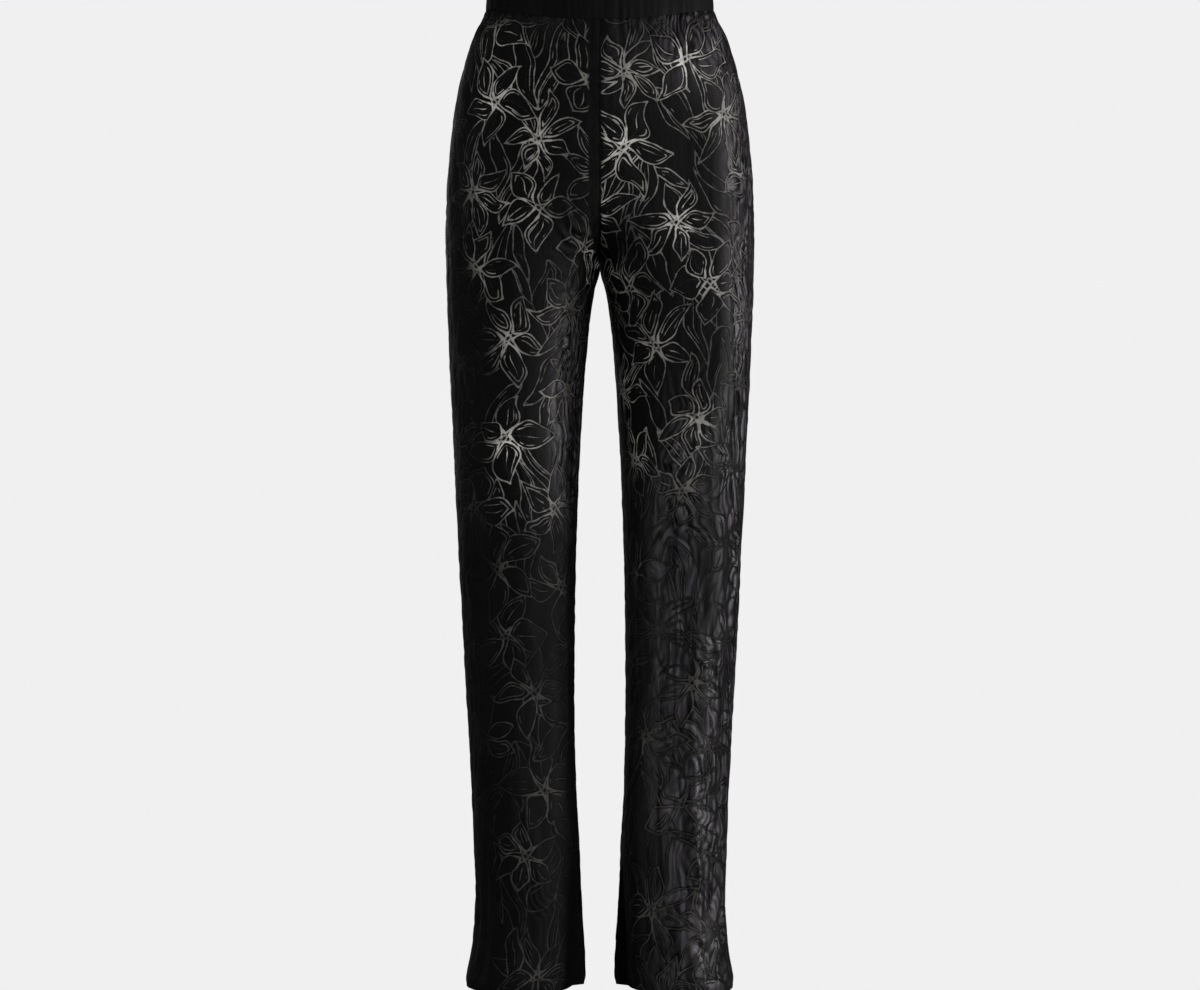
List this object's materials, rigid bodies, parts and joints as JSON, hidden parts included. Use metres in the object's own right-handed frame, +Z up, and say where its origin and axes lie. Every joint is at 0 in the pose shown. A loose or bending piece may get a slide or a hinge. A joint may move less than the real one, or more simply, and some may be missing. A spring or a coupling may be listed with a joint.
{
  "type": "satin pyjama trousers",
  "caption": "High-waisted straight-leg pyjama trousers in satin cloth, open at the waist and at both hems, filled out as if worn.",
  "frame": {"origin": "centre of the waistband, half way up it at the side, where the wearer's waist holds the trousers", "axes": "+Z up along the legs towards the waist, -Y the way the wearer faces, +X to the wearer's left"},
  "size_m": [0.344, 0.237, 1.1511],
  "materials": {
    "satin": "black satin with burnt-out line drawing of flowers and leaves, softly shiny",
    "waistband_satin": "black satin gathered over elastic"
  },
  "bodies": {
    "root": {"front_right": "satin", "front_left": "satin", "back_right": "satin", "back_left": "satin", "waistband": "waistband_satin"}
  },
  "joints": []
}
